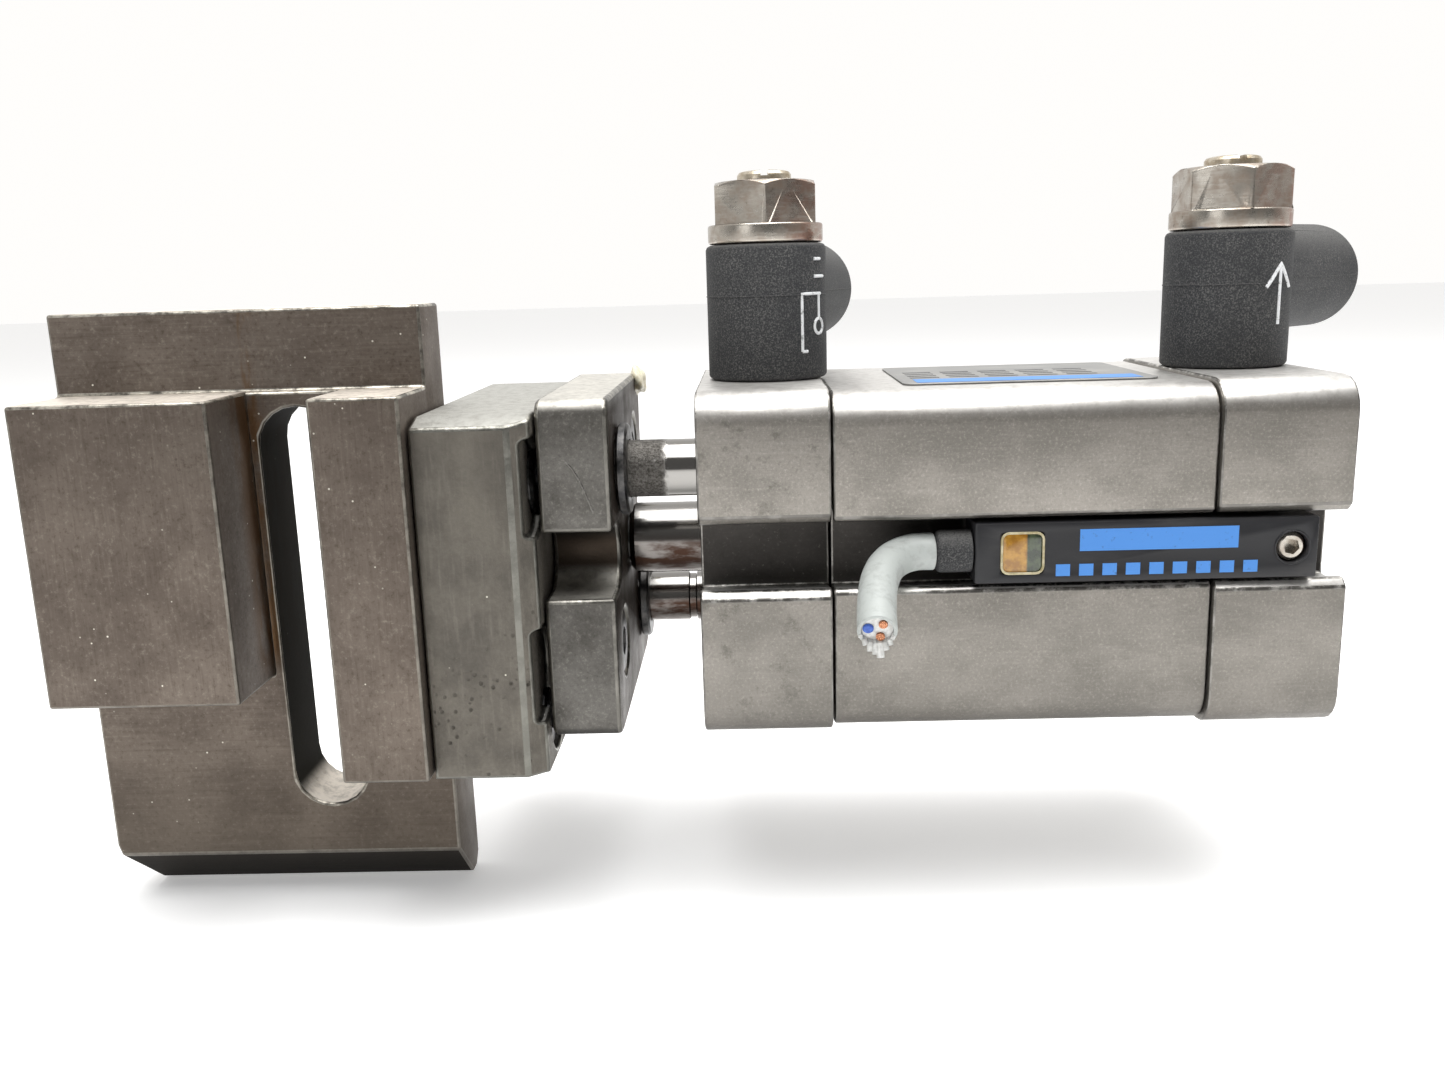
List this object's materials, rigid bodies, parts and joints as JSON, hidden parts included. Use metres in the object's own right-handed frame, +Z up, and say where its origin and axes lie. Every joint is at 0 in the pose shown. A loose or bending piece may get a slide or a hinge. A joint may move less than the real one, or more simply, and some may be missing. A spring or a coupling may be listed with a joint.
{
  "type": "pneumatic gripper",
  "caption": "Guided compact pneumatic cylinder with elbow flow valves and a groove sensor, driving a slotted steel gripper jaw on a yoke.",
  "frame": {"origin": "centre of the rear cap's flat outer face, on the piston axis", "axes": "+X out of the rear face, away from the jaw; +Z up to the air fittings; -Y is the sensor side"},
  "size_m": [0.1426, 0.0515, 0.0772],
  "materials": {
    "anodised_aluminium": "matte silver anodising with dirt and rub marks",
    "jaw_steel": "milled tool steel, brown-grey, brushed up and down",
    "yoke_steel": "machined steel, oily and dusty",
    "adapter_steel": "grey-green machined steel, pitted",
    "screw_steel": "blackened screw steel",
    "chromed_rod": "hard chrome, dusty towards the yoke",
    "nickelled_brass": "nickel-plated brass with brown stain",
    "brass": "bare brass",
    "bearing_bronze": "sintered bronze",
    "black_plastic": "moulded black plastic, dusty",
    "seal_rubber": "black rubber",
    "label_film": null,
    "window_amber": "tinted clear plastic over an amber lamp",
    "cable_sheath": "light grey sheath",
    "wire_brown": "wire insulation",
    "wire_blue": "wire insulation"
  },
  "bodies": {
    "housing": {"front_cap": "anodised_aluminium", "barrel": "anodised_aluminium", "rear_cap": "anodised_aluminium", "front_cap_seal": "seal_rubber", "rear_cap_seal": "seal_rubber", "rod_wiper": "seal_rubber", "front_bumper": "seal_rubber", "rear_bumper": "seal_rubber", "rod_bush": "bearing_bronze", "guide_bush_upper": "bearing_bronze", "guide_bush_lower": "bearing_bronze", "rear_cap_screw_1": "screw_steel", "rear_cap_screw_2": "screw_steel", "rear_cap_screw_3": "screw_steel", "rear_cap_screw_4": "screw_steel", "front_cap_screw_1": "screw_steel", "front_cap_screw_2": "screw_steel", "name_label": "label_film", "sensor_housing": "black_plastic", "sensor_boot": "black_plastic", "cable_core_black": "black_plastic", "sensor_window": "window_amber", "sensor_clamp_screw": "nickelled_brass", "front_hollow_screw": "nickelled_brass", "rear_hollow_screw": "nickelled_brass", "front_port_washer": "nickelled_brass", "rear_port_washer": "nickelled_brass", "cable_stub": "cable_sheath", "cable_core_brown": "wire_brown", "cable_core_blue": "wire_blue"},
    "carriage": {"piston_rod": "chromed_rod", "piston": "anodised_aluminium", "piston_nut": "screw_steel", "piston_seal_front": "seal_rubber", "piston_seal_rear": "seal_rubber", "magnet_ring": "black_plastic", "guide_rod_upper": "chromed_rod", "guide_rod_lower": "chromed_rod", "guide_collar_upper": "screw_steel", "guide_collar_lower": "screw_steel", "guide_rod_screw_upper": "screw_steel", "guide_rod_screw_lower": "screw_steel", "yoke_plate": "yoke_steel", "yoke_screw": "screw_steel", "adapter_plate": "adapter_steel", "adapter_screw_1": "screw_steel", "adapter_screw_2": "screw_steel", "jaw_screw_1": "screw_steel", "jaw_screw_2": "screw_steel", "gripper_jaw": "jaw_steel"},
    "front_elbow": {"front_elbow_body": "black_plastic", "front_tube_collet": "brass", "front_tube_seal": "seal_rubber"},
    "front_needle": {"front_needle_screw": "brass"},
    "front_release": {"front_release_ring": "black_plastic"},
    "rear_elbow": {"rear_elbow_body": "black_plastic", "rear_tube_collet": "brass", "rear_tube_seal": "seal_rubber"},
    "rear_needle": {"rear_needle_screw": "brass"},
    "rear_release": {"rear_release_ring": "black_plastic"}
  },
  "joints": [
    {"name": "rod_slide", "type": "slide", "parent": "housing", "child": "carriage", "axis": [-1, 0, 0], "range_m": [0, 0.025]},
    {"name": "front_elbow_swivel", "type": "hinge", "parent": "housing", "child": "front_elbow", "pos_m": [-0.05665, 0, 0.025], "axis": [0, 0, 1], "continuous": true},
    {"name": "front_needle_turn", "type": "hinge", "parent": "housing", "child": "front_needle", "pos_m": [-0.05665, 0, 0.03], "axis": [0, 0, 1], "range_deg": [-450, 450]},
    {"name": "front_release_push", "type": "slide", "parent": "front_elbow", "child": "front_release", "axis": [-0.2419, -0.9703, 0], "range_m": [0, 0.0008], "stiffness_N_per_m": 300},
    {"name": "rear_elbow_swivel", "type": "hinge", "parent": "housing", "child": "rear_elbow", "pos_m": [-0.00687, 0, 0.025], "axis": [0, 0, 1], "continuous": true},
    {"name": "rear_needle_turn", "type": "hinge", "parent": "housing", "child": "rear_needle", "pos_m": [-0.00687, 0, 0.03], "axis": [0, 0, 1], "range_deg": [-450, 450]},
    {"name": "rear_release_push", "type": "slide", "parent": "rear_elbow", "child": "rear_release", "axis": [-0.7547, -0.6561, 0], "range_m": [0, 0.0008], "stiffness_N_per_m": 300}
  ]
}
